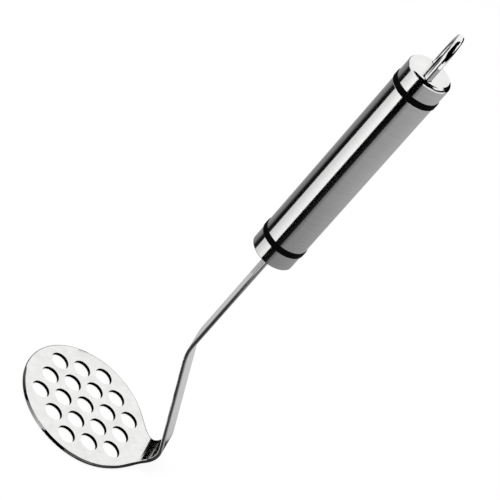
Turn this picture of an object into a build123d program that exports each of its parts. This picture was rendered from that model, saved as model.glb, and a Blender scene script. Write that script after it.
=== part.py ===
from build123d import *
import math
import os

# Potato masher in millimetres. The perforated disc lies flat on z = 0 with its centre at the origin,
# the neck points to +X, and the handle rises from it and leans back over the disc.

# Blade: disc, neck, cranked shank and tang, pressed from one sheet
SHEET = 2.0
DISC_DIAMETER = 73.2
HOLE_DIAMETER = 10.0
HOLE_RINGS = 2
HOLE_MARGIN = 4.8
HOLE_EDGE = 0.1
SHEET_EDGE = 0.8
SHANK_WIDTH = 18.4
SHOULDER = 3.2
NECK_LENGTH = 11.7
NECK_BEND = 11.5
NECK_STRAIGHT = 0.3
NECK_ANGLE = 48.0
NECK_RIM_PULL = 12.5
NECK_SHANK_PULL = 3.8
ELBOW_HEIGHT = 73.8
ELBOW_BEND = 30.0

# Handle axis: where it crosses z = 0, and its lean from the vertical
HANDLE_OFFSET = 20.4
HANDLE_LEAN = 4.2

# Handle stack, from the ferrule's underside upwards along the axis
FERRULE_BASE = 145.1
FERRULE_LENGTH = 8.9
RING_WIDTH = 3.4
TUBE_LENGTH = 99.4
CAP_LENGTH = 9.9
TUBE_DIAMETER = 22.5
TUBE_WALL = 0.8
RING_PROUD = 0.4
RING_CROWN = 0.5
FERRULE_FLOOR = 1.5
FERRULE_EDGE = 0.5
CAP_TOP = 1.5
CAP_EDGE = 2.2
TUBE_EDGE = 0.2

# Plastic bushes that centre the stack, and the tie rod that pulls it together
BUSH_IN_TUBE = 14.0
BUSH_LIP = 3.0
BUSH_CLEARANCE = 0.15
SLOT_CLEARANCE = 0.15
ROD_DIAMETER = 5.0
ROD_CLEARANCE = 0.15
THREAD_CLEARANCE = 0.05
ROD_END_GAP = 0.5
BOSS_DIAMETER = 9.0
BOSS_GAP = 0.3
FORK_THICKNESS = 8.0
FORK_LENGTH = 24.0
FORK_SLOT = 18.0
FORK_GAP = 4.0
TANG_END_GAP = 1.0

# Rivets through the fork and the tang
RIVET_DIAMETER = 3.0
RIVET_INSET = 4.5
RIVET_CLEARANCE = 0.05
RIVET_HEAD_DIAMETER = 5.0
RIVET_HEAD_HEIGHT = 1.2

# Hanging loop: one bent wire, its feet upset under the cap's top
WIRE_DIAMETER = 3.5
LOOP_HEIGHT = 22.1
BOW_HEIGHT = 14.0
LEG_CLEARANCE = 0.25
FOOT_STEP = 0.6
FOOT_HEIGHT = 1.2
FOOT_CLEARANCE = 0.15

# Places along the handle axis and radii, worked out from the sizes above
TUBE_RADIUS = TUBE_DIAMETER / 2
BORE_RADIUS = TUBE_RADIUS - TUBE_WALL
RING_RADIUS = TUBE_RADIUS + RING_PROUD
RING_BORE = BORE_RADIUS + TUBE_WALL / 2
RING_BASE = FERRULE_BASE + FERRULE_LENGTH
TUBE_BASE = RING_BASE + RING_WIDTH
UPPER_RING_BASE = TUBE_BASE + TUBE_LENGTH
CAP_BASE = UPPER_RING_BASE + RING_WIDTH
CAP_TOP_FACE = CAP_BASE + CAP_LENGTH
CAP_UNDERSIDE = CAP_TOP_FACE - CAP_TOP
BOSS_BASE = CAP_BASE + BUSH_LIP + BOSS_GAP
TANG_WIDTH = SHANK_WIDTH - 2 * SHOULDER
FORK_BASE = TUBE_BASE + BUSH_IN_TUBE + FORK_GAP
FORK_TOP = FORK_BASE + FORK_LENGTH
TANG_END = FORK_BASE + FORK_SLOT - TANG_END_GAP
RIVET_PLACES = [FORK_BASE + RIVET_INSET, TANG_END - RIVET_INSET]
FOOT_RADIUS = WIRE_DIAMETER / 2 + FOOT_STEP
BOW_RADIUS = BORE_RADIUS - FOOT_CLEARANCE - FOOT_RADIUS

# The hole grid fills the disc up to its margin
DISC_RADIUS = DISC_DIAMETER / 2
HOLE_PITCH = (DISC_RADIUS - HOLE_MARGIN - HOLE_DIAMETER / 2) / HOLE_RINGS

# Corners of the bent sheet's upper face: the neck beyond the rim, and the elbow on the handle's line
LEAN = math.radians(HANDLE_LEAN)
NECK_X = DISC_RADIUS + NECK_LENGTH
ELBOW_X = HANDLE_OFFSET - ELBOW_HEIGHT * math.tan(LEAN) - SHEET / 2 / math.cos(LEAN)
NECK_TURN = math.pi / 2 + math.atan2(NECK_X - ELBOW_X, ELBOW_HEIGHT - SHEET)
BEND_START = NECK_X - NECK_BEND * math.tan(NECK_TURN / 2)
NECK_END = BEND_START + NECK_BEND - NECK_STRAIGHT

ON_HANDLE = Pos(HANDLE_OFFSET, 0, 0) * Rot(0, -HANDLE_LEAN, 0)
FROM_BELOW = (Align.CENTER, Align.CENTER, Align.MIN)


def rod_between(low, high, radius):
    """A round bar on the handle axis from one height to another."""
    return Pos(0, 0, low) * Cylinder(radius, high - low, align=FROM_BELOW)


def across(radius, length):
    """A round bar along X, centred."""
    return Rot(0, 90, 0) * Cylinder(radius, length)


def bent_sheet():
    """The sheet bent at the neck and the elbow, still as wide as the disc all along."""
    tang_x = HANDLE_OFFSET - TANG_END * math.sin(LEAN) - SHEET / 2 * math.cos(LEAN)
    tang_z = TANG_END * math.cos(LEAN) - SHEET / 2 * math.sin(LEAN)
    corners = [(-DISC_RADIUS, SHEET), (NECK_X, SHEET), (ELBOW_X, ELBOW_HEIGHT), (tang_x, tang_z)]
    front = FilletPolyline(*corners, radius=[NECK_BEND, ELBOW_BEND + SHEET])
    section = make_face(offset(front, SHEET, side=Side.RIGHT).edges())
    return extrude(Plane.XZ * section, DISC_RADIUS, both=True)


def blank_outline():
    """The disc and the root of the shank from above, joined on each side by a hollow curve.

    The curve leaves the rim NECK_ANGLE degrees off the neck's middle and ends on the shank's side.
    """
    rim = Vector(DISC_RADIUS, 0).rotate(Axis.Z, NECK_ANGLE)
    along_rim = Vector(0, -1).rotate(Axis.Z, NECK_ANGLE)
    end = Vector(NECK_END, SHANK_WIDTH / 2)
    curve = Bezier(rim, rim + along_rim * NECK_RIM_PULL, end - Vector(NECK_SHANK_PULL, 0), end)
    side = make_face(curve + Polyline(end, (NECK_END, 0), (0, 0), rim))
    reach = NECK_X + SHEET
    outline = Circle(DISC_RADIUS) + Pos(reach / 2, 0) * Rectangle(reach, SHANK_WIDTH)
    return outline + side + mirror(side, Plane.XZ)


def hole_places():
    """Centres of the holes: a middle one and six-sided rings round it, in straight rows across the neck."""
    step = HOLE_PITCH * math.cos(math.radians(30))
    for row in range(-HOLE_RINGS, HOLE_RINGS + 1):
        count = 2 * HOLE_RINGS + 1 - abs(row)
        for k in range(count):
            yield row * step, (k - (count - 1) / 2) * HOLE_PITCH


def rounded_outline(body):
    """Round the sheet's long edges: all but the bend lines, the neck's seams and the cut end on top."""
    cut_end = body.faces().sort_by(Axis.Z)[-1].edges()
    seams = body.edges().filter_by(Axis.Y) + body.edges().filter_by(Axis.Z)
    return fillet(body.edges() - seams - cut_end, SHEET_EDGE)


def masher_blade():
    sheet = bent_sheet()
    plate = sheet & extrude(blank_outline(), SHEET + NECK_BEND)
    shank_room = Box(NECK_X + SHEET, SHANK_WIDTH, FERRULE_BASE, align=(Align.MIN, Align.CENTER, Align.MIN))
    shank = sheet & (ON_HANDLE * Pos(-HANDLE_OFFSET, 0, 0) * shank_room)
    tang_room = Box(2 * SHEET, TANG_WIDTH, TANG_END - FERRULE_BASE, align=FROM_BELOW)
    tang = sheet & (ON_HANDLE * Pos(0, 0, FERRULE_BASE) * tang_room)
    blade = rounded_outline(plate + shank) + tang
    for x, y in hole_places():
        blade -= Pos(x, y, 0) * Cylinder(HOLE_DIAMETER / 2, SHEET, align=FROM_BELOW)
    rims = [e for e in blade.edges().filter_by(GeomType.CIRCLE) if abs(e.radius - HOLE_DIAMETER / 2) < 1e-3]
    blade = fillet(rims, HOLE_EDGE)
    for height in RIVET_PLACES:
        blade -= ON_HANDLE * Pos(0, 0, height) * across(RIVET_DIAMETER / 2 + RIVET_CLEARANCE, FORK_THICKNESS)
    return blade


def lower_ferrule():
    cup = rod_between(FERRULE_BASE, RING_BASE, TUBE_RADIUS)
    cup = fillet(cup.edges().sort_by(Axis.Z)[0], FERRULE_EDGE)
    cup -= rod_between(FERRULE_BASE + FERRULE_FLOOR, RING_BASE, BORE_RADIUS)
    slot = Box(SHEET + 2 * SLOT_CLEARANCE, TANG_WIDTH + 2 * SLOT_CLEARANCE, FERRULE_LENGTH, align=FROM_BELOW)
    return cup - Pos(0, 0, FERRULE_BASE) * slot


def seal_ring(base):
    ring = rod_between(base, base + RING_WIDTH, RING_RADIUS)
    ring = fillet(ring.edges().filter_by(GeomType.CIRCLE), RING_CROWN)
    return ring - rod_between(base, base + RING_WIDTH, RING_BORE)


def handle_tube():
    tube = rod_between(TUBE_BASE, UPPER_RING_BASE, TUBE_RADIUS)
    tube = fillet(tube.edges().filter_by(GeomType.CIRCLE), TUBE_EDGE)
    return tube - rod_between(TUBE_BASE, UPPER_RING_BASE, BORE_RADIUS)


def bush(low, high, ring_base):
    """A plug in the tube's bore, with a collar that the tube and the end cup hold inside the ring."""
    plug = rod_between(low, high, BORE_RADIUS - BUSH_CLEARANCE)
    return plug + rod_between(ring_base, ring_base + RING_WIDTH, RING_BORE - BUSH_CLEARANCE)


def lower_bush():
    low, high = RING_BASE - BUSH_LIP, TUBE_BASE + BUSH_IN_TUBE
    slot = Box(SHEET + 2 * SLOT_CLEARANCE, TANG_WIDTH + 2 * SLOT_CLEARANCE, high - low, align=FROM_BELOW)
    return bush(low, high, RING_BASE) - Pos(0, 0, low) * slot


def upper_bush():
    low, high = UPPER_RING_BASE - BUSH_IN_TUBE, CAP_BASE + BUSH_LIP
    return bush(low, high, UPPER_RING_BASE) - rod_between(low, high, ROD_DIAMETER / 2 + ROD_CLEARANCE)


def top_cap():
    cap = rod_between(CAP_BASE, CAP_TOP_FACE, TUBE_RADIUS)
    cap = fillet(cap.edges().sort_by(Axis.Z)[-1], CAP_EDGE)
    cap -= rod_between(CAP_BASE, CAP_UNDERSIDE, BORE_RADIUS)
    cap += rod_between(BOSS_BASE, CAP_UNDERSIDE, BOSS_DIAMETER / 2)
    cap -= rod_between(BOSS_BASE, CAP_UNDERSIDE, ROD_DIAMETER / 2 + THREAD_CLEARANCE)
    for side in (-1, 1):
        hole = rod_between(CAP_UNDERSIDE, CAP_TOP_FACE, WIRE_DIAMETER / 2 + LEG_CLEARANCE)
        cap -= Pos(0, side * BOW_RADIUS, 0) * hole
    return cap


def hanging_loop():
    bow_base = CAP_TOP_FACE + LOOP_HEIGHT - BOW_HEIGHT - WIRE_DIAMETER / 2
    bow = Plane.YZ * EllipticalCenterArc((0, bow_base), BOW_RADIUS, BOW_HEIGHT, start_angle=0, arc_size=180)
    wire = sweep(Pos(0, BOW_RADIUS, bow_base) * Circle(WIRE_DIAMETER / 2), path=bow)
    for side in (-1, 1):
        leg = rod_between(CAP_UNDERSIDE - FOOT_HEIGHT, bow_base, WIRE_DIAMETER / 2)
        foot = rod_between(CAP_UNDERSIDE - FOOT_HEIGHT, CAP_UNDERSIDE, FOOT_RADIUS)
        wire += Pos(0, side * BOW_RADIUS, 0) * (leg + foot)
    return wire


def tie_rod():
    fork = Pos(0, 0, FORK_BASE) * Box(FORK_THICKNESS, TANG_WIDTH, FORK_LENGTH, align=FROM_BELOW)
    slot = Box(SHEET + 2 * SLOT_CLEARANCE, TANG_WIDTH, FORK_SLOT, align=FROM_BELOW)
    fork -= Pos(0, 0, FORK_BASE) * slot
    for height in RIVET_PLACES:
        fork -= Pos(0, 0, height) * across(RIVET_DIAMETER / 2 + RIVET_CLEARANCE, FORK_THICKNESS)
    return fork + rod_between(FORK_TOP, CAP_UNDERSIDE - ROD_END_GAP, ROD_DIAMETER / 2)


def tang_rivets():
    rivets = []
    for height in RIVET_PLACES:
        rivet = across(RIVET_DIAMETER / 2, FORK_THICKNESS)
        for side in (-1, 1):
            head = across(RIVET_HEAD_DIAMETER / 2, RIVET_HEAD_HEIGHT)
            rivet += Pos(side * (FORK_THICKNESS + RIVET_HEAD_HEIGHT) / 2, 0, 0) * head
        rivets.append(Pos(0, 0, height) * rivet)
    return Compound(rivets)


HANDLE_PIECES = {
    "lower_ferrule": lower_ferrule(),
    "lower_ring": seal_ring(RING_BASE),
    "lower_bush": lower_bush(),
    "handle_tube": handle_tube(),
    "upper_ring": seal_ring(UPPER_RING_BASE),
    "upper_bush": upper_bush(),
    "top_cap": top_cap(),
    "hanging_loop": hanging_loop(),
    "tie_rod": tie_rod(),
    "tang_rivets": tang_rivets(),
}

os.makedirs("parts", exist_ok=True)
export_step(masher_blade(), "parts/masher_blade.step")
for name, piece in HANDLE_PIECES.items():
    export_step(ON_HANDLE * piece, f"parts/{name}.step")
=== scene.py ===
import math

import bpy
from mathutils import Matrix, Vector


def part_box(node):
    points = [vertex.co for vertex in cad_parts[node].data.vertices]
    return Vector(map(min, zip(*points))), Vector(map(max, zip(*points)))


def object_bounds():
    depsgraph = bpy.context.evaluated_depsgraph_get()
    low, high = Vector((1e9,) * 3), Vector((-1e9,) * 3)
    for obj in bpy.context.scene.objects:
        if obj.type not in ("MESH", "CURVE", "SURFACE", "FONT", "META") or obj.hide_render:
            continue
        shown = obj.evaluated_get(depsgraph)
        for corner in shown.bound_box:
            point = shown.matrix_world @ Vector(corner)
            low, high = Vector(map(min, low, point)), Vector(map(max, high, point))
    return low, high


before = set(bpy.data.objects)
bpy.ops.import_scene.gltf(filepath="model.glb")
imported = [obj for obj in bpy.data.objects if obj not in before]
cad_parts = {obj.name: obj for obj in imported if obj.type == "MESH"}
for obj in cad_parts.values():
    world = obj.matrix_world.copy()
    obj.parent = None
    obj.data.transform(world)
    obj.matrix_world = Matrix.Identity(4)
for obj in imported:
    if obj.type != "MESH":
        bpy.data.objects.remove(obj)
CAD_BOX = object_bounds()

# Places taken from the frame, in metres
RING_LOW, RING_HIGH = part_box("lower_ring")
CAP_LOW, CAP_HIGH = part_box("top_cap")
BLADE_LOW, BLADE_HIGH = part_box("masher_blade")
GROUND = CAD_BOX[0].z
RING_MIDDLE = (RING_LOW + RING_HIGH) / 2
CAP_MIDDLE = (CAP_LOW + CAP_HIGH) / 2
HANDLE_AXIS = (CAP_MIDDLE - RING_MIDDLE).normalized()
HANDLE_FOOT = RING_MIDDLE - HANDLE_AXIS * (RING_MIDDLE.z / HANDLE_AXIS.z)
DISC_RADIUS = (BLADE_HIGH.y - BLADE_LOW.y) / 2
DISC_CENTRE = Vector((0, 0, GROUND))
NECK_CENTRE = Vector((BLADE_HIGH.x - 0.006, 0, GROUND))
CAP_CENTRE = Vector((CAP_MIDDLE.x, CAP_MIDDLE.y, GROUND))
CAP_RIM = CAP_HIGH.z - GROUND - 0.001

# Camera: where it stands, which way it looks, how far it is rolled, and its lens
CAMERA_PLACE = Vector((-0.1213, -0.8319, 0.6805))
VIEW_AZIMUTH = math.radians(8.40)
VIEW_DROP = math.radians(32.87)
CAMERA_ROLL = math.radians(46.0)
LENS_MM = 153.7
SENSOR_MM = 36.0
CLIP_START = 0.05

# Floor, world and lamp
FLOOR_SIZE = 6.0
FLOOR_GAP = 0.0004
FLOOR_TONE = 0.9
FLOOR_GLOW = 0.88
WORLD_LIGHT = 0.8
LAMP_PLACE = Vector((-0.5, -0.4, 1.4))
LAMP_TARGET = Vector((0.0, 0.0, 0.1))
LAMP_SIZE = 0.9
LAMP_POWER = 14.0

# Blade steel. Here and below, scales are marks to the metre, and relief is a bump's strength and depth
BLADE_CLOUDS = 260.0
BLADE_CLOUD_DETAIL = 4.0
BLADE_CLOUD_BREAKUP = 0.6
BLADE_LINES = (60.0, 2600.0, 60.0)
BLADE_DULL = (0.70, 0.70, 0.69, 1)
BLADE_BRIGHT = (0.98, 0.98, 0.97, 1)
BLADE_ROUGH = 0.06
BLADE_CLOUD_ROUGH = 0.05
BLADE_LINE_ROUGH = 0.03
BLADE_RELIEF = (0.01, 0.00002)

# Cut walls of the blade's holes, which fade out over a distance from the middle, a slope and a height
WALL_FIELD = (DISC_RADIUS - 0.0036, DISC_RADIUS - 0.0026)
WALL_SLOPE = (0.35, 0.75)
WALL_TOP = (0.0019, 0.0022)
# The walls' darker colour is partly the cut steel's duller finish and partly painted shade in the holes
CUT_WALL_TONE_AND_SHADE = (0.40, 0.40, 0.39, 1)
WALL_ROUGH = 0.10

# Handle steel. A brushing is its scale round the handle, its scale along the handle, and its detail
FINE_BRUSHING = (90, 9000, 3.0)
COARSE_BRUSHING = (40, 1700, 2.0)
FINE_SHARE = 0.6
HANDLE_CLOUDS = 60.0
HANDLE_DULL = (0.68, 0.68, 0.68, 1)
HANDLE_BRIGHT = (1.0, 1.0, 0.99, 1)
HANDLE_ROUGH = 0.07
HANDLE_BRUSHED_ROUGH = 0.07
HANDLE_CLOUD_ROUGH = 0.02
HANDLE_RELIEF = (0.02, 0.00002)
HIGHLIGHT_STRETCH = 0.6
HIGHLIGHT_TURN = 0.25

# Loop steel
LOOP_CLOUDS = 500.0
LOOP_DULL = (0.84, 0.84, 0.85, 1)
LOOP_BRIGHT = (0.92, 0.92, 0.92, 1)
LOOP_ROUGH = 0.04
LOOP_CLOUD_ROUGH = 0.05

# Ring rubber
RING_SKIN = 4000.0
RING_DARK = 0.0008
RING_PALE = 0.002
RING_ROUGH = 0.5
RING_SKIN_ROUGH = 0.2
RING_SHINE = 0.03
RING_RELIEF = (0.15, 0.00003)

# Bush plastic
BUSH_GRAIN = 2500.0
BUSH_GRAIN_DETAIL = 3.0
BUSH_DARK = 0.03
BUSH_PALE = 0.05
BUSH_ROUGH = 0.5
BUSH_GRAIN_ROUGH = 0.2
BUSH_RELIEF = (0.2, 0.00004)

# Steel of the tie rod and the rivets
TURNING_MARKS = 6000
INNER_DARK = 0.45
INNER_PALE = 0.62
INNER_ROUGH = 0.3
INNER_MARK_ROUGH = 0.15

# Cards: levels are heights above the ground, and a tone that changes with distance does so from near to far
CARD_STEP = math.radians(4)
CARD_NEAR = 0.22
CARD_FAR = 0.46
CARD_LEVEL = -0.0003
NECK_LEVEL = CARD_LEVEL / 2
# Black sheet under the disc: painted shade, seen only in the metal
SHADE_SHEET_LEVEL = -0.0002
SHADE_SHEET_RADIUS = DISC_RADIUS - 0.0005
BLACK = (0.0, 0.0)
COLLAR_REACH = 0.10
COLLAR_TOP = CAP_RIM + 0.15

# Sockets of a Mix node that are used for colours
MIX_FACTOR = 0
MIX_LOW = 6
MIX_HIGH = 7
MIX_RESULT = 2


class Value:
    """An output of a node that works in sums like a number."""

    def __init__(self, tree, socket):
        self.tree = tree
        self.socket = socket

    def __add__(self, other):
        return self.tree.math("ADD", self, other)

    def __radd__(self, other):
        return self.tree.math("ADD", other, self)

    def __sub__(self, other):
        return self.tree.math("SUBTRACT", self, other)

    def __rsub__(self, other):
        return self.tree.math("SUBTRACT", other, self)

    def __mul__(self, other):
        return self.tree.math("MULTIPLY", self, other)

    def __rmul__(self, other):
        return self.tree.math("MULTIPLY", other, self)

    def __abs__(self):
        return self.tree.math("ABSOLUTE", self)


class Nodes:
    """The node tree of one material or of the world."""

    def __init__(self, owner):
        owner.use_nodes = True
        self.tree = owner.node_tree
        self.tree.nodes.clear()

    def node(self, kind, settings=None, sockets=None, out=0):
        """Add a node, set its settings, then its sockets by value or link, and return one output."""
        made = self.tree.nodes.new(kind)
        for name, value in (settings or {}).items():
            setattr(made, name, value)
        for name, value in (sockets or {}).items():
            if isinstance(value, Value):
                self.tree.links.new(value.socket, made.inputs[name])
            else:
                made.inputs[name].default_value = value
        return Value(self, made.outputs[out]) if made.outputs else None

    def math(self, operation, *terms):
        sockets = dict(enumerate(terms))
        return self.node("ShaderNodeMath", {"operation": operation}, sockets)

    def vector(self, operation, *terms, out=0):
        sockets = dict(enumerate(terms))
        return self.node("ShaderNodeVectorMath", {"operation": operation}, sockets, out)

    def dot(self, vector, direction):
        return self.vector("DOT_PRODUCT", vector, direction, out="Value")

    def length(self, vector):
        return self.vector("LENGTH", vector, out="Value")

    def combine(self, x, y, z):
        return self.node("ShaderNodeCombineXYZ", {}, {0: x, 1: y, 2: z})

    def step(self, value, low, high):
        """0 below low, 1 above high, smooth between them."""
        sockets = {"Value": value, "From Min": low, "From Max": high}
        return self.node("ShaderNodeMapRange", {"interpolation_type": "SMOOTHSTEP"}, sockets)

    def mix(self, factor, low, high):
        """A colour between two colours."""
        sockets = {MIX_FACTOR: factor, MIX_LOW: low, MIX_HIGH: high}
        return self.node("ShaderNodeMix", {"data_type": "RGBA"}, sockets, MIX_RESULT)

    def noise(self, place, scale=1.0, detail=2.0, roughness=0.5):
        sockets = {"Vector": place, "Scale": scale, "Detail": detail, "Roughness": roughness}
        return self.node("ShaderNodeTexNoise", {}, sockets, out="Fac")

    def bump(self, height, strength, distance):
        sockets = {"Height": height, "Strength": strength, "Distance": distance}
        return self.node("ShaderNodeBump", {}, sockets)

    def glow(self, colour):
        return self.node("ShaderNodeEmission", {}, {"Color": colour, "Strength": 1.0})

    def surface(self, shader):
        self.node("ShaderNodeOutputMaterial", {}, {"Surface": shader})

    def principled(self, sockets):
        self.surface(self.node("ShaderNodeBsdfPrincipled", {}, sockets))


def finish(name):
    """A new material, its nodes, and the place of the shaded point in the part's frame."""
    material = bpy.data.materials.new(name)
    nodes = Nodes(material)
    place = nodes.node("ShaderNodeTexCoord", out="Object")
    return material, nodes, place


def grey(level):
    return (level, level, level, 1.0)


def blade_steel():
    """Polished sheet with fine lines along the strip, faint clouds, and darker, rougher cut walls in the
    holes: partly the cut steel's duller finish, partly painted shade.
    """
    material, nodes, place = finish("blade_steel")
    normal = nodes.node("ShaderNodeNewGeometry", out="Normal")
    height = nodes.dot(place, (0, 0, 1))
    from_middle = nodes.length(nodes.vector("MULTIPLY", place, (1, 1, 0)))
    inside = 1 - nodes.step(from_middle, *WALL_FIELD)
    upright = 1 - nodes.step(abs(nodes.dot(normal, (0, 0, 1))), *WALL_SLOPE)
    wall = upright * inside * (1 - nodes.step(height, *WALL_TOP))
    clouds = nodes.noise(place, BLADE_CLOUDS, BLADE_CLOUD_DETAIL, BLADE_CLOUD_BREAKUP)
    lines = nodes.noise(nodes.vector("MULTIPLY", place, BLADE_LINES))
    sheet = nodes.mix(clouds, BLADE_DULL, BLADE_BRIGHT)
    rough = BLADE_ROUGH + BLADE_CLOUD_ROUGH * clouds + BLADE_LINE_ROUGH * lines + WALL_ROUGH * wall
    nodes.principled({
        # Darker hole walls: the cut steel's duller finish plus painted shade
        "Base Color": nodes.mix(wall, sheet, CUT_WALL_TONE_AND_SHADE),
        "Metallic": 1.0,
        "Roughness": rough,
        "Normal": nodes.bump(lines, *BLADE_RELIEF),
    })
    return material


def brushing(nodes, place, round_scale, along_scale, detail):
    """Fine lines that run round the handle."""
    across = nodes.dot(place, (1, 0, 0))
    beside = nodes.dot(place, (0, 1, 0))
    along = nodes.dot(place, HANDLE_AXIS)
    stretched = nodes.combine(across * round_scale, beside * round_scale, along * along_scale)
    return nodes.noise(stretched, detail=detail)


def handle_steel():
    """Tube, ferrule and cap: steel brushed round the handle."""
    material, nodes, place = finish("handle_steel")
    fine = brushing(nodes, place, *FINE_BRUSHING)
    coarse = brushing(nodes, place, *COARSE_BRUSHING)
    brushed = FINE_SHARE * fine + (1 - FINE_SHARE) * coarse
    clouds = nodes.noise(place, HANDLE_CLOUDS)
    nodes.principled({
        "Base Color": nodes.mix(brushed, HANDLE_DULL, HANDLE_BRIGHT),
        "Metallic": 1.0,
        "Roughness": HANDLE_ROUGH + HANDLE_BRUSHED_ROUGH * brushed + HANDLE_CLOUD_ROUGH * clouds,
        "Anisotropic": HIGHLIGHT_STRETCH,
        "Anisotropic Rotation": HIGHLIGHT_TURN,
        "Normal": nodes.bump(brushed, *HANDLE_RELIEF),
    })
    return material


def loop_steel():
    """Polished wire."""
    material, nodes, place = finish("loop_steel")
    clouds = nodes.noise(place, LOOP_CLOUDS)
    nodes.principled({
        "Base Color": nodes.mix(clouds, LOOP_DULL, LOOP_BRIGHT),
        "Metallic": 1.0,
        "Roughness": LOOP_ROUGH + LOOP_CLOUD_ROUGH * clouds,
    })
    return material


def ring_rubber():
    """Black rubber with a fine skin."""
    material, nodes, place = finish("ring_rubber")
    skin = nodes.noise(place, RING_SKIN)
    nodes.principled({
        "Base Color": nodes.mix(skin, grey(RING_DARK), grey(RING_PALE)),
        "Roughness": RING_ROUGH + RING_SKIN_ROUGH * skin,
        "Specular IOR Level": RING_SHINE,
        "Normal": nodes.bump(skin, *RING_RELIEF),
    })
    return material


def bush_plastic():
    """Moulded black plastic."""
    material, nodes, place = finish("bush_plastic")
    grain = nodes.noise(place, BUSH_GRAIN, BUSH_GRAIN_DETAIL)
    nodes.principled({
        "Base Color": nodes.mix(grain, grey(BUSH_DARK), grey(BUSH_PALE)),
        "Roughness": BUSH_ROUGH + BUSH_GRAIN_ROUGH * grain,
        "Normal": nodes.bump(grain, *BUSH_RELIEF),
    })
    return material


def inner_steel():
    """Plain turned steel inside the handle."""
    material, nodes, place = finish("inner_steel")
    along = nodes.dot(place, HANDLE_AXIS)
    marks = nodes.noise(nodes.combine(0.0, 0.0, along * TURNING_MARKS))
    nodes.principled({
        "Base Color": nodes.mix(marks, grey(INNER_DARK), grey(INNER_PALE)),
        "Metallic": 1.0,
        "Roughness": INNER_ROUGH + INNER_MARK_ROUGH * marks,
    })
    return material


def dress(nodes_by_finish):
    for make, names in nodes_by_finish.items():
        material = make()
        for name in names:
            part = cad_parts[name]
            part.data.materials.clear()
            part.data.materials.append(material)


dress({
    blade_steel: ["masher_blade"],
    handle_steel: ["lower_ferrule", "handle_tube", "top_cap"],
    loop_steel: ["hanging_loop"],
    ring_rubber: ["lower_ring", "upper_ring"],
    bush_plastic: ["lower_bush", "upper_bush"],
    inner_steel: ["tie_rod", "tang_rivets"],
})


def add_mesh(name, corners, faces, material):
    mesh = bpy.data.meshes.new(name)
    mesh.from_pydata(corners, [], faces)
    mesh.materials.append(material)
    thing = bpy.data.objects.new(name, mesh)
    bpy.context.scene.collection.objects.link(thing)
    return thing


def only_mirrored(card):
    """Let a card show in polished metal and nowhere else."""
    card.visible_camera = False
    card.visible_diffuse = False
    card.visible_shadow = False
    card.visible_transmission = False
    card.visible_volume_scatter = False


def card_paper(name, centre, start, end, tones, near_share):
    """Evenly lit card whose tone changes with the angle round a centre, and may be darker near it."""
    material = bpy.data.materials.new(name)
    nodes = Nodes(material)
    place = nodes.vector("SUBTRACT", nodes.node("ShaderNodeNewGeometry", out="Position"), centre)
    middle = (start + end) / 2
    ahead = nodes.dot(place, (math.cos(middle), math.sin(middle), 0))
    aside = nodes.dot(place, (-math.sin(middle), math.cos(middle), 0))
    angle = nodes.math("ARCTAN2", aside, ahead)
    first, second = tones
    tone = nodes.mix(nodes.step(angle, start - middle, end - middle), grey(first), grey(second))
    level = near_share + (1 - near_share) * nodes.step(nodes.length(place), CARD_NEAR, CARD_FAR)
    nodes.surface(nodes.glow(nodes.mix(level, grey(0.0), tone)))
    return material


def sector_card(centre, name, start, end, tones, outline, near_share=1.0):
    """Turn an outline round a centre, from one angle to the other."""
    start, end = math.radians(start), math.radians(end)
    steps = max(2, round((end - start) / CARD_STEP))
    corners = []
    for k in range(steps + 1):
        angle = start + (end - start) * k / steps
        for reach, height in outline:
            x = centre.x + reach * math.cos(angle)
            y = centre.y + reach * math.sin(angle)
            corners.append((x, y, GROUND + height))
    row = len(outline)
    faces = []
    for k in range(steps):
        for corner in range(row * k, row * (k + 1) - 1):
            faces.append((corner, corner + 1, corner + row + 1, corner + row))
    material = card_paper(name, centre, start, end, tones, near_share)
    only_mirrored(add_mesh(name, corners, faces, material))


def lying(inner, outer, level):
    """Outline of a card that lies flat."""
    return [(inner, level), (outer, level)]


def standing(reach, low, high):
    """Outline of a card that stands upright."""
    return [(reach, low), (reach, high)]


# Each card below is a name, two angles in degrees from +X, the tones at these, and an outline as distances
# from the centre and heights above the ground. A last value is the share of the tone left near the centre.

# On the floor round the handle
HANDLE_RING = lying(0.19, 0.80, CARD_LEVEL)
HANDLE_CARDS = [
    ("back_card", 46, 80, (0.37, 0.64), HANDLE_RING),
    ("corner_card", 80, 104, (0.60, 0.36), HANDLE_RING),
    ("dim_card", 104, 144, (0.35, 0.22), HANDLE_RING),
    ("shade_card", 144, 168, (0.22, 0.006), HANDLE_RING),
    ("left_flag", 168, 186, (0.004, 0.006), HANDLE_RING),
    ("white_card", 186, 241, (0.76, 1.08), HANDLE_RING, 0.94),
    ("front_flag", 241, 272, (0.0, 0.008), HANDLE_RING),
    ("front_card", 272, 292, (0.20, 0.34), HANDLE_RING, 0.72),
    ("grey_card", 292, 406, (0.34, 0.42), HANDLE_RING, 0.72),
]

# Inside them, on the floor near the shank
SHANK_RING = lying(0.045, 0.19, CARD_LEVEL)
SHANK_CARDS = [
    ("shank_back_card", 0, 84, (0.45, 0.64), SHANK_RING),
    ("shank_corner_card", 84, 112, (0.60, 0.50), SHANK_RING),
    ("shank_dim_card", 112, 190, (0.40, 0.10), SHANK_RING),
    ("shank_left_card", 190, 240, (0.10, 0.06), SHANK_RING),
    ("shank_front_card", 240, 300, (0.02, 0.05), SHANK_RING),
    ("shank_right_card", 300, 360, (0.07, 0.40), SHANK_RING),
]
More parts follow.
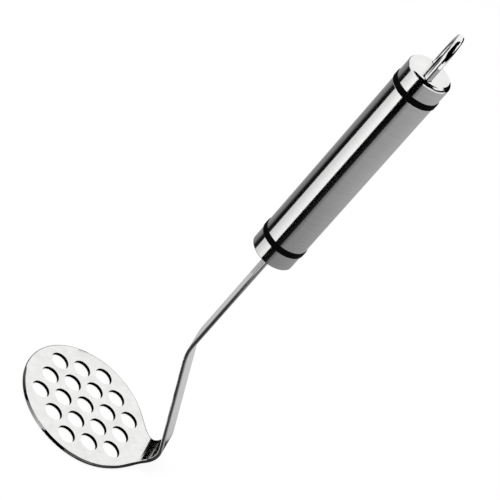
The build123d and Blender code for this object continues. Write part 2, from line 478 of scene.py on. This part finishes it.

# Round the disc: a narrow lip beside the rim, a low wall behind, and below the disc a black sheet of
# painted shade, seen only in the metal, for the holes' walls
RIM_LIP = [
    (SHADE_SHEET_RADIUS, SHADE_SHEET_LEVEL),
    (DISC_RADIUS + 0.0040, SHADE_SHEET_LEVEL),
    (DISC_RADIUS + 0.0045, 0.005),
    (DISC_RADIUS + 0.0010, 0.0085),
    (DISC_RADIUS - 0.0030, 0.0095),
]
LOW_RIM_LIP = RIM_LIP[:3]
DISC_CARDS = [
    ("rim_left_card", -177, -137, (0.12, 0.0), RIM_LIP),
    ("rim_white_card", -137, -109, (0.20, 0.50), RIM_LIP),
    ("rim_front_flag", -109, -84, BLACK, RIM_LIP),
    ("rim_grey_card", -84, -55, (0.09, 0.14), RIM_LIP),
    ("rim_neck_flag", -55, -15, (0.08, 0.02), RIM_LIP),
    ("rim_end_card", -205, -177, (0.16, 0.12), LOW_RIM_LIP),
    ("rim_back_flag", 36, 172, BLACK, standing(DISC_RADIUS + 0.020, 0, 0.0105)),
    # Painted shade under the disc, as a black sheet seen only in the metal
    ("painted_shade_sheet", 0, 360, BLACK, lying(0, SHADE_SHEET_RADIUS, SHADE_SHEET_LEVEL)),
]

# Round the neck: dark cards on the floor, one that stands behind, and a lip in front, for the bend
NECK_LIP = [
    (0.0160, NECK_LEVEL),
    (0.0165, 0.005),
    (0.0130, 0.0085),
    (0.0090, 0.0095),
]
NECK_CARDS = [
    ("neck_floor_flag", 82, 140, BLACK, lying(0.008, 0.080, NECK_LEVEL)),
    ("neck_flag", 114, 131, BLACK, standing(0.080, 0, 0.026)),
    ("neck_front_flag", 225, 352, (0.03, 0.06), lying(0.009, 0.045, NECK_LEVEL)),
    ("neck_back_flag", -8, 82, (0.02, 0.02), lying(0.007, 0.036, NECK_LEVEL)),
    ("neck_lip", 258, 345, (0.02, 0.03), NECK_LIP),
]

# Far behind on the left, at the end of the floor cards
FAR_CARDS = [
    ("far_flag", 100, 160, BLACK, standing(0.80, 0, 0.13)),
]

# Round the cap: walls in front and to the right with a roof over them, for the loop and the cap's edge
COLLAR_CARDS = [
    ("collar_left", 200, 243, BLACK, standing(COLLAR_REACH, CAP_RIM + 0.020, COLLAR_TOP)),
    ("collar_flag", 243, 272, BLACK, standing(COLLAR_REACH, CAP_RIM - 0.070, COLLAR_TOP)),
    ("collar_front", 272, 296, BLACK, standing(COLLAR_REACH, CAP_RIM, COLLAR_TOP)),
    ("collar_right", 296, 322, BLACK, standing(COLLAR_REACH, CAP_RIM + 0.010, COLLAR_TOP)),
    ("collar_side", 322, 385, BLACK, standing(COLLAR_REACH, CAP_RIM, CAP_RIM + 0.050)),
    ("collar_end", 385, 428, BLACK, standing(COLLAR_REACH, CAP_RIM - 0.030, CAP_RIM + 0.085)),
    ("collar_roof", 190, 300, BLACK, lying(0, 0.20, COLLAR_TOP)),
    ("collar_right_roof", 300, 378, BLACK, lying(0, COLLAR_REACH, COLLAR_TOP)),
]

CARDS_BY_CENTRE = [
    (HANDLE_FOOT, HANDLE_CARDS),
    (HANDLE_FOOT, SHANK_CARDS),
    (DISC_CENTRE, DISC_CARDS),
    (NECK_CENTRE, NECK_CARDS),
    (HANDLE_FOOT, FAR_CARDS),
    (CAP_CENTRE, COLLAR_CARDS),
]
for centre, cards in CARDS_BY_CENTRE:
    for card in cards:
        sector_card(centre, *card)


def seen_directly(nodes):
    """1 for rays from the camera and for mirrored or refracted ones, 0 for the rest."""
    rays = [nodes.node("ShaderNodeLightPath", out=name)
            for name in ("Is Camera Ray", "Is Glossy Ray", "Is Transmission Ray")]
    return nodes.math("MAXIMUM", nodes.math("MAXIMUM", rays[0], rays[1]), rays[2])


def lay_floor():
    """Pale floor: white to the eye, with a faint shadow of the tool."""
    material = bpy.data.materials.new("floor_paper")
    nodes = Nodes(material)
    white = nodes.glow(grey(1.0))
    paper = nodes.node("ShaderNodeBsdfDiffuse", {}, {"Color": grey(FLOOR_TONE)})
    share = FLOOR_GLOW * seen_directly(nodes)
    nodes.surface(nodes.node("ShaderNodeMixShader", {}, {0: share, 1: paper, 2: white}))
    half = FLOOR_SIZE / 2
    z = GROUND - FLOOR_GAP
    corners = [(-half, -half, z), (half, -half, z), (half, half, z), (-half, half, z)]
    add_mesh("floor", corners, [(0, 1, 2, 3)], material)


def light_world():
    """White all round, and a little less than white as light on the tool."""
    world = bpy.data.worlds.new("studio")
    bpy.context.scene.world = world
    nodes = Nodes(world)
    level = WORLD_LIGHT + (1 - WORLD_LIGHT) * seen_directly(nodes)
    light = nodes.node("ShaderNodeBackground", {}, {"Color": grey(1.0), "Strength": level})
    nodes.node("ShaderNodeOutputWorld", {}, {"Surface": light})


def hang_lamp():
    """One soft lamp that isn't seen in the metal."""
    lamp = bpy.data.lights.new("key_lamp", "AREA")
    lamp.size = LAMP_SIZE
    lamp.energy = LAMP_POWER
    thing = bpy.data.objects.new("key_lamp", lamp)
    thing.location = LAMP_PLACE
    thing.rotation_euler = (LAMP_TARGET - LAMP_PLACE).to_track_quat("-Z", "Y").to_euler()
    thing.visible_camera = False
    thing.visible_glossy = False
    bpy.context.scene.collection.objects.link(thing)


def place_camera():
    data = bpy.data.cameras.new("camera")
    data.lens = LENS_MM
    data.sensor_width = SENSOR_MM
    data.clip_start = CLIP_START
    thing = bpy.data.objects.new("camera", data)
    ahead = Vector((
        math.sin(VIEW_AZIMUTH) * math.cos(VIEW_DROP),
        math.cos(VIEW_AZIMUTH) * math.cos(VIEW_DROP),
        -math.sin(VIEW_DROP),
    ))
    level = Vector((math.cos(VIEW_AZIMUTH), -math.sin(VIEW_AZIMUTH), 0))
    right = Matrix.Rotation(CAMERA_ROLL, 3, -ahead) @ level
    up = right.cross(ahead)
    turn = Matrix((right, up, -ahead)).transposed().to_4x4()
    thing.matrix_world = Matrix.Translation(CAMERA_PLACE) @ turn
    bpy.context.scene.collection.objects.link(thing)
    bpy.context.scene.camera = thing


lay_floor()
light_world()
hang_lamp()
place_camera()
bpy.context.scene.view_settings.view_transform = "Standard"
